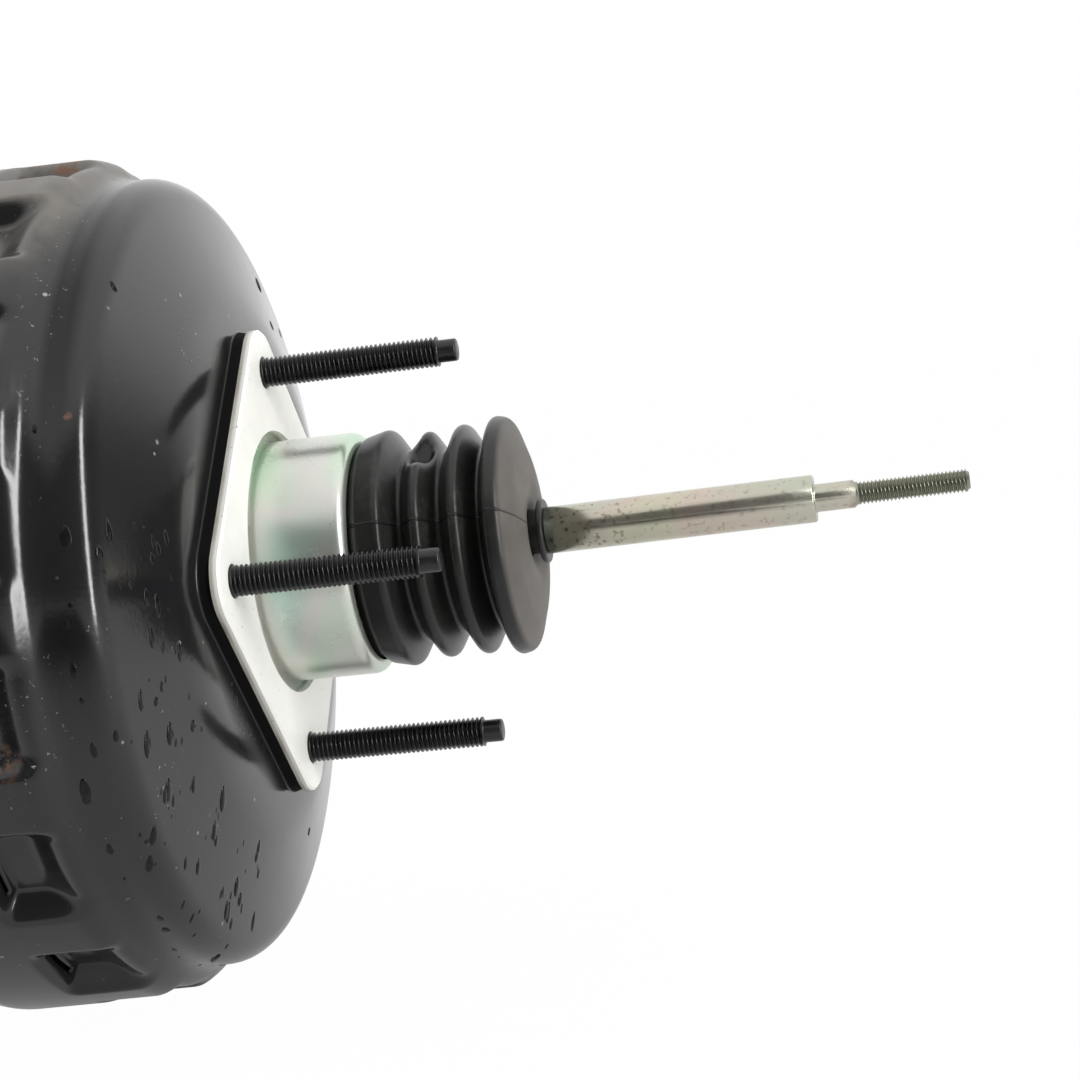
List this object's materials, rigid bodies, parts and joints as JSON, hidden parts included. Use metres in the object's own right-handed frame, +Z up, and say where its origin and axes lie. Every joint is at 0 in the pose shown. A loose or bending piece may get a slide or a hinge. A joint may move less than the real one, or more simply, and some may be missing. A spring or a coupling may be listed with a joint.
{
  "type": "brake booster",
  "caption": "Vacuum brake booster with a sheet-steel drum, a studded mounting plate, a bellows boot and a push rod that swings on a ball.",
  "frame": {"origin": "on the booster's axis, in the rear face of the mounting plate, at the centre of its four studs", "axes": "+X along the booster's axis, rearwards to the pedal; +Z up; one stud stands straight above the axis"},
  "size_m": [0.3158, 0.2268, 0.2268],
  "materials": {
    "black_paint": "gloss",
    "white_zinc": "matte",
    "bright_zinc": "satin",
    "black_stud": "satin",
    "yellow_zinc": "satin",
    "boot_rubber": "matte",
    "black_plastic": "matte",
    "phenolic": "matte",
    "spring_steel": "satin",
    "plain_steel": "satin",
    "filter_foam": "matte"
  },
  "bodies": {
    "housing": {"rear_shell": "black_paint", "front_shell": "black_paint", "mounting_plate": "white_zinc", "mounting_studs": "black_stud", "rear_reinforcement": "bright_zinc", "neck_sleeve": "bright_zinc", "hub_bush": "black_plastic", "hub_seal": "boot_rubber", "seal_retainer": "bright_zinc", "dust_boot": "boot_rubber", "diaphragm": "boot_rubber", "return_spring": "spring_steel", "front_reinforcement": "bright_zinc", "master_cylinder_studs": "black_stud", "front_seal": "boot_rubber", "front_seal_retainer": "bright_zinc", "check_valve_grommet": "boot_rubber", "check_valve_base": "black_plastic", "check_valve_cover": "black_plastic", "check_valve_spring": "spring_steel"},
    "power_piston": {"valve_body": "phenolic", "stop_key": "spring_steel", "poppet_valve": "boot_rubber", "poppet_spring": "spring_steel", "poppet_retainer": "bright_zinc", "rod_return_spring": "spring_steel", "silencer": "filter_foam", "air_filter": "filter_foam", "filter_retainer": "black_plastic", "diaphragm_plate": "bright_zinc", "reaction_disc": "boot_rubber", "output_rod": "yellow_zinc", "rod_retainer": "spring_steel", "output_rod_tip": "yellow_zinc"},
    "air_valve": {"plunger": "plain_steel"},
    "pedal_rod": {"input_rod": "yellow_zinc", "boot_collar": "black_plastic"},
    "check_disc": {"check_valve_disc": "boot_rubber"}
  },
  "joints": [
    {"name": "piston_stroke", "type": "slide", "parent": "housing", "child": "power_piston", "axis": [-1, 0, 0], "range_m": [0, 0.0266], "stiffness_N_per_m": 2000, "springref_m": -0.03, "deforming": ["return_spring", "diaphragm"]},
    {"name": "pedal_stroke", "type": "slide", "parent": "housing", "child": "air_valve", "axis": [-1, 0, 0], "range_m": [0, 0.028], "deforming": ["dust_boot", "rod_return_spring", "poppet_spring"]},
    {"name": "rod_swing", "type": "hinge", "parent": "air_valve", "child": "pedal_rod", "pos_m": [0.0085, 0, 0], "axis": [0, -1, 0], "range_deg": [-3.7, 2.3], "stiffness_Nm_per_rad": 20, "deforming": ["dust_boot", "rod_return_spring"]},
    {"name": "check_valve_lift", "type": "slide", "parent": "housing", "child": "check_disc", "axis": [-1, 0, 0], "range_m": [0, 0.0015], "stiffness_N_per_m": 60, "springref_m": -0.002, "deforming": ["check_valve_spring"]}
  ],
  "couplings": [
    {"joint": "pedal_stroke", "follows": "piston_stroke", "ratio": 1.0526}
  ]
}
